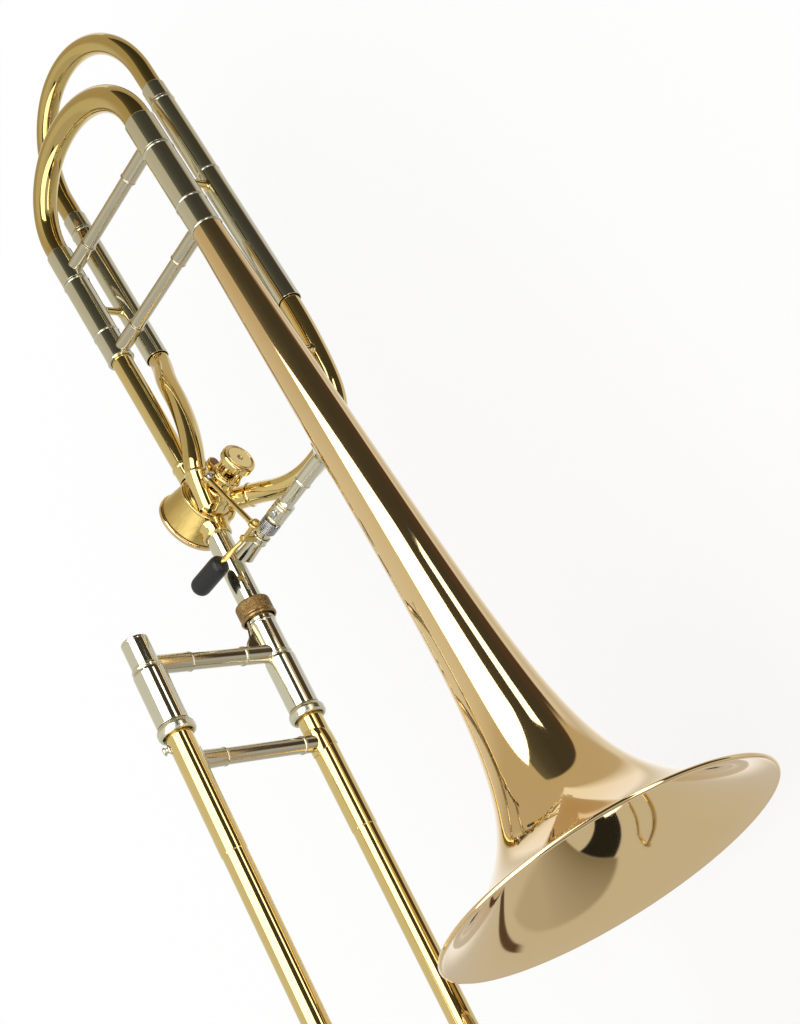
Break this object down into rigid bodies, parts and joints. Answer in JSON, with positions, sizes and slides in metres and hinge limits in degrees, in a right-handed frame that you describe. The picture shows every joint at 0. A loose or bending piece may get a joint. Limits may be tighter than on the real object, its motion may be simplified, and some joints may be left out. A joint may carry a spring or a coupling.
{
  "type": "tenor trombone",
  "caption": "Tenor trombone with an F attachment: hand slide, flared bell, tuning slides, and a drum rotary valve worked by a thumb trigger.",
  "frame": {"origin": "middle of the inner slide brace, which the left hand holds", "axes": "+Y forward along the slide to its bow, +Z from the lower slide tube up to the mouthpiece tube, bell on the -X side"},
  "size_m": [0.2761, 1.235, 0.2312],
  "materials": {
    "lacquered_brass": "gloss",
    "gold_brass": "gloss",
    "nickel_silver": "polished",
    "chromed_steel": "polished",
    "steel": "satin",
    "bronze": "satin",
    "black_rubber": "matte",
    "cork": "matte"
  },
  "bodies": {
    "inner_slide": {"mouthpiece_receiver": "nickel_silver", "upper_cork_barrel": "nickel_silver", "lower_cork_barrel": "nickel_silver", "slide_tenon": "nickel_silver", "inner_slide_brace": "nickel_silver", "tenon_gusset": "lacquered_brass", "inner_tube_upper": "chromed_steel", "inner_tube_lower": "chromed_steel", "slide_cork_upper": "cork", "slide_cork_lower": "cork"},
    "slide_lock": {"slide_lock_ring": "nickel_silver"},
    "hand_slide": {"outer_tube_upper": "lacquered_brass", "outer_tube_lower": "lacquered_brass", "outer_slide_brace": "nickel_silver", "outer_brace_saddle": "lacquered_brass", "slide_lock_stud": "nickel_silver", "slide_bow": "lacquered_brass", "bow_ferrule_upper": "nickel_silver", "bow_ferrule_lower": "nickel_silver", "bow_bumper": "black_rubber", "water_key_nipple": "nickel_silver", "water_key_saddle": "nickel_silver", "water_key_pin": "steel", "water_key_spring": "steel"},
    "water_key": {"water_key_lever": "lacquered_brass", "water_key_cork": "cork"},
    "lock_nut": {"bell_lock_nut": "bronze"},
    "bell_section": {"neckpipe": "nickel_silver", "neckpipe_collar": "lacquered_brass", "bell": "gold_brass", "bell_brace": "nickel_silver", "main_sleeve_neck": "nickel_silver", "main_sleeve_bell": "nickel_silver", "sleeve_brace": "nickel_silver", "gooseneck": "lacquered_brass", "f_sleeve_neck": "nickel_silver", "f_sleeve_bell": "nickel_silver", "f_tube_feed": "lacquered_brass", "f_tube_return": "lacquered_brass", "stay_neck": "lacquered_brass", "stay_bell": "lacquered_brass", "stay_low": "lacquered_brass", "valve_casing": "lacquered_brass", "valve_back_cap": "lacquered_brass", "valve_bearing": "lacquered_brass", "stop_bumper": "cork", "trigger_spring": "steel"},
    "main_tuning_slide": {"main_crook": "lacquered_brass", "main_leg_neck": "nickel_silver", "main_leg_bell": "nickel_silver", "tuning_brace": "nickel_silver"},
    "f_tuning_slide": {"f_crook": "lacquered_brass", "f_leg_neck": "nickel_silver", "f_leg_bell": "nickel_silver"},
    "valve_rotor": {"valve_rotor": "lacquered_brass", "stop_arm": "lacquered_brass", "valve_cap": "lacquered_brass"},
    "trigger": {"trigger_lever": "lacquered_brass", "thumb_sleeve": "black_rubber"},
    "link_rod": {"link_rod": "lacquered_brass"}
  },
  "joints": [
    {"name": "hand_slide_travel", "type": "slide", "parent": "inner_slide", "child": "hand_slide", "axis": [0, 1, 0], "range_m": [0, 0.6]},
    {"name": "slide_lock_turn", "type": "hinge", "parent": "inner_slide", "child": "slide_lock", "pos_m": [0, 0.0455, 0.05025], "axis": [0, 1, 0], "range_deg": [0, 40]},
    {"name": "water_key_press", "type": "hinge", "parent": "hand_slide", "child": "water_key", "pos_m": [0, 0.684, -0.06455], "axis": [-1, 0, 0], "range_deg": [0, 12], "stiffness_Nm_per_rad": 0.03, "springref_deg": -22.92},
    {"name": "lock_nut_turn", "type": "hinge", "parent": "inner_slide", "child": "lock_nut", "pos_m": [0, -0.032, -0.05025], "axis": [0, 1, 0], "range_deg": [0, 360]},
    {"name": "bell_section_swing", "type": "hinge", "parent": "inner_slide", "child": "bell_section", "pos_m": [0, -0.036, -0.05025], "axis": [0, 1, 0], "range_deg": [-20, 20]},
    {"name": "main_tuning_travel", "type": "slide", "parent": "bell_section", "child": "main_tuning_slide", "axis": [0.0665, -0.9977, 0.0108], "range_m": [0, 0.055]},
    {"name": "f_tuning_travel", "type": "slide", "parent": "bell_section", "child": "f_tuning_slide", "axis": [0.0665, -0.9977, 0.0108], "range_m": [0, 0.08]},
    {"name": "trigger_press", "type": "hinge", "parent": "bell_section", "child": "trigger", "pos_m": [-0.03141, -0.0669, -0.05273], "axis": [-0.9961, -0.067, -0.0574], "range_deg": [0, 28], "stiffness_Nm_per_rad": 0.1, "springref_deg": -17.19},
    {"name": "valve_turn", "type": "hinge", "parent": "bell_section", "child": "valve_rotor", "pos_m": [-0.00299, -0.1151, -0.05074], "axis": [-0.9961, -0.067, -0.0574], "range_deg": [0, 33]},
    {"name": "link_rod_turn", "type": "hinge", "parent": "trigger", "child": "link_rod", "pos_m": [-0.04482, -0.06695, -0.03948], "axis": [-0.9961, -0.067, -0.0574], "range_deg": [-28, 0]}
  ],
  "couplings": [
    {"joint": "valve_turn", "follows": "trigger_press", "ratio": 1.163},
    {"joint": "link_rod_turn", "follows": "trigger_press", "ratio": -0.9755}
  ]
}
